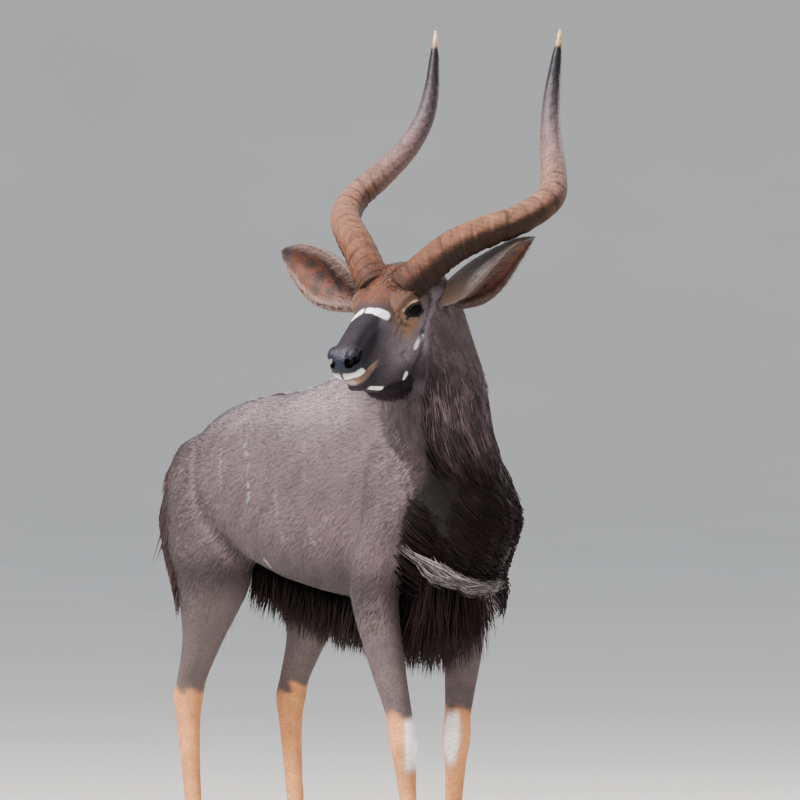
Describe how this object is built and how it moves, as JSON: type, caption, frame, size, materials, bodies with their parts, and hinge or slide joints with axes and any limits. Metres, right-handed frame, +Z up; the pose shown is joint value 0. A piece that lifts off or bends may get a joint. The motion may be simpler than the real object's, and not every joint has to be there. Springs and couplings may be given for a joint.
{
  "type": "nyala bull",
  "caption": "Life-size still model of a standing nyala bull with spiral horns, cupped ears, throat mane, back crest and belly fringe, its head turned to its right.",
  "frame": {"origin": "middle of the whole model's box, on the ground between the hooves", "axes": "+Z up, the animal faces -Y, +X to its left side"},
  "size_m": [0.5856, 1.2286, 1.7389],
  "materials": {
    "fur": "short grey-brown coat with long dark mane, fringe and pale crest",
    "ear": "thin furred ear, rusty inside and grey behind",
    "horn": "ringed horn, reddish at the base, dark above, with an ivory tip",
    "eye": "dark polished eye",
    "hoof": "dark hoof horn"
  },
  "bodies": {
    "root": {"head": "fur", "neck": "fur", "torso_front": "fur", "torso_middle": "fur", "torso_rear": "fur", "tail": "fur", "foreleg_left_upper": "fur", "foreleg_left_lower": "fur", "foreleg_right_upper": "fur", "foreleg_right_lower": "fur", "hindleg_left_upper": "fur", "hindleg_left_lower": "fur", "hindleg_right_upper": "fur", "hindleg_right_lower": "fur", "horn_left": "horn", "horn_right": "horn", "ear_left": "ear", "ear_right": "ear", "eye_left": "eye", "eye_right": "eye", "hoof_foreleg_left_left": "hoof", "hoof_foreleg_left_right": "hoof", "hoof_foreleg_right_left": "hoof", "hoof_foreleg_right_right": "hoof", "hoof_hindleg_left_left": "hoof", "hoof_hindleg_left_right": "hoof", "hoof_hindleg_right_left": "hoof", "hoof_hindleg_right_right": "hoof"}
  },
  "joints": []
}
